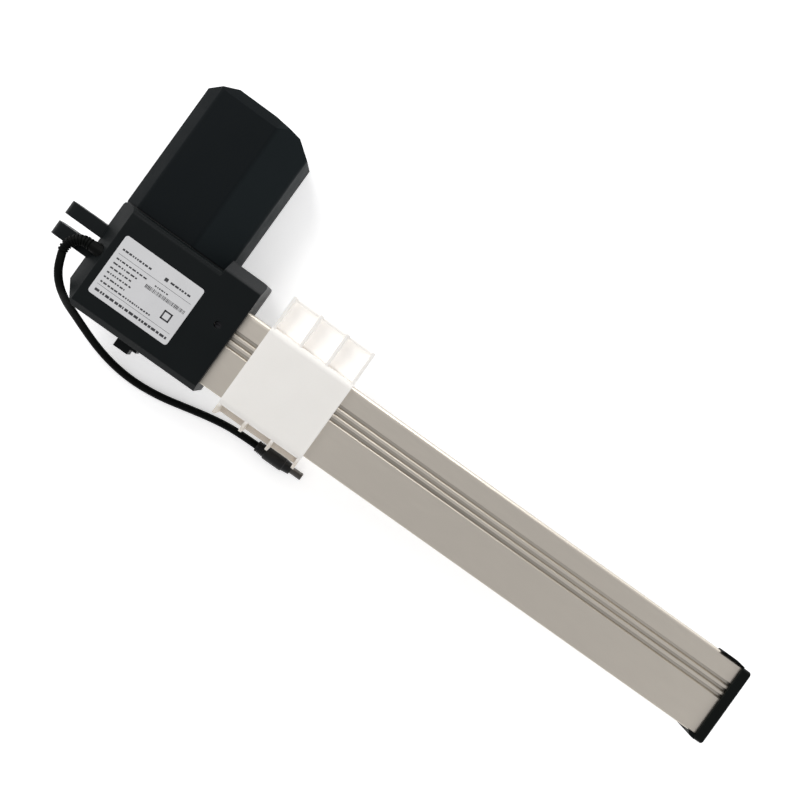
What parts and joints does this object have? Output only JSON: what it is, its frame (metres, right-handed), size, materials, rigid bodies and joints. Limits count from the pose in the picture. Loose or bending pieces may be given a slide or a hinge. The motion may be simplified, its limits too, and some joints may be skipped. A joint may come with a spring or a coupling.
{
  "type": "linear actuator",
  "caption": "Rail-type linear actuator: a geared motor unit turns a lead screw that slides a ribbed carriage along a grooved rail, with a rear clevis, an end cap and a cable.",
  "frame": {"origin": "middle of the rear clevis pin", "axes": "+X along the rail to its end cap, +Y along the motor to its closed end, +Z out of the labelled face"},
  "size_m": [0.5542, 0.2087, 0.0693],
  "materials": {
    "case_plastic": "fine moulded texture, dark charcoal",
    "cover_plastic": "fine moulded texture, dark charcoal",
    "cap_plastic": "smooth black moulding",
    "carriage_plastic": "white nylon, slightly translucent",
    "nut_plastic": "natural acetal",
    "rail_aluminium": "satin anodised extrusion",
    "steel": "turned steel",
    "can_steel": "zinc plated drawn steel",
    "bearing_steel": "ground bearing steel",
    "lamination_steel": "stacked laminations",
    "copper": "varnished copper",
    "ferrite": "sintered ferrite",
    "carbon": "carbon",
    "bronze": "sintered bronze",
    "wheel_plastic": "moulded gear nylon",
    "screw_steel": "black zinc screws",
    "label_film": "white printed film",
    "gasket_rubber": "soft black",
    "cord_rubber": "soft black cable jacket",
    "plug_plastic": "smooth black",
    "plug_metal": "nickel plated",
    "board": "green circuit board",
    "switch_plastic": "black switch case"
  },
  "bodies": {
    "frame": {"front_housing": "case_plastic", "rear_housing": "case_plastic", "housing_screws": "screw_steel", "rail_screw": "screw_steel", "rating_label": "label_film", "rear_clevis": "case_plastic", "motor_cover": "cover_plastic", "cover_screws": "screw_steel", "cover_gasket": "gasket_rubber", "motor_can": "can_steel", "motor_end_bell": "case_plastic", "carbon_brushes": "carbon", "motor_magnets": "ferrite", "motor_bushes": "bronze", "bearing_outer_rings": "bearing_steel", "bearing_balls": "bearing_steel", "guide_rail": "rail_aluminium", "end_cap": "cap_plastic", "screw_end_bush": "bronze", "cap_screws": "screw_steel", "switch_board": "board", "limit_switches": "switch_plastic", "strain_relief": "cord_rubber", "cable": "cord_rubber", "plug_grip": "plug_plastic", "plug_barrel": "plug_metal"},
    "rotor": {"motor_shaft": "steel", "armature": "lamination_steel", "winding_end_turns": "copper", "commutator": "copper", "worm": "steel"},
    "screw": {"lead_screw": "steel", "worm_wheel": "wheel_plastic", "bearing_inner_rings": "bearing_steel"},
    "slider": {"carriage": "carriage_plastic", "drive_nut": "nut_plastic"}
  },
  "joints": [
    {"name": "motor_spin", "type": "hinge", "parent": "frame", "child": "rotor", "pos_m": [0.042, 0, -0.019], "axis": [0, 1, 0], "range_deg": [-30240, 768600]},
    {"name": "screw_spin", "type": "hinge", "parent": "frame", "child": "screw", "pos_m": [0, 0, 0], "axis": [1, 0, 0], "range_deg": [-27450.5, 1080.5]},
    {"name": "carriage_slide", "type": "slide", "parent": "frame", "child": "slider", "axis": [1, 0, 0], "range_m": [-0.01201, 0.30501]}
  ],
  "couplings": [
    {"joint": "screw_spin", "follows": "motor_spin", "ratio": -0.035714},
    {"joint": "carriage_slide", "follows": "motor_spin", "m_per_rad": 0.000022736}
  ]
}
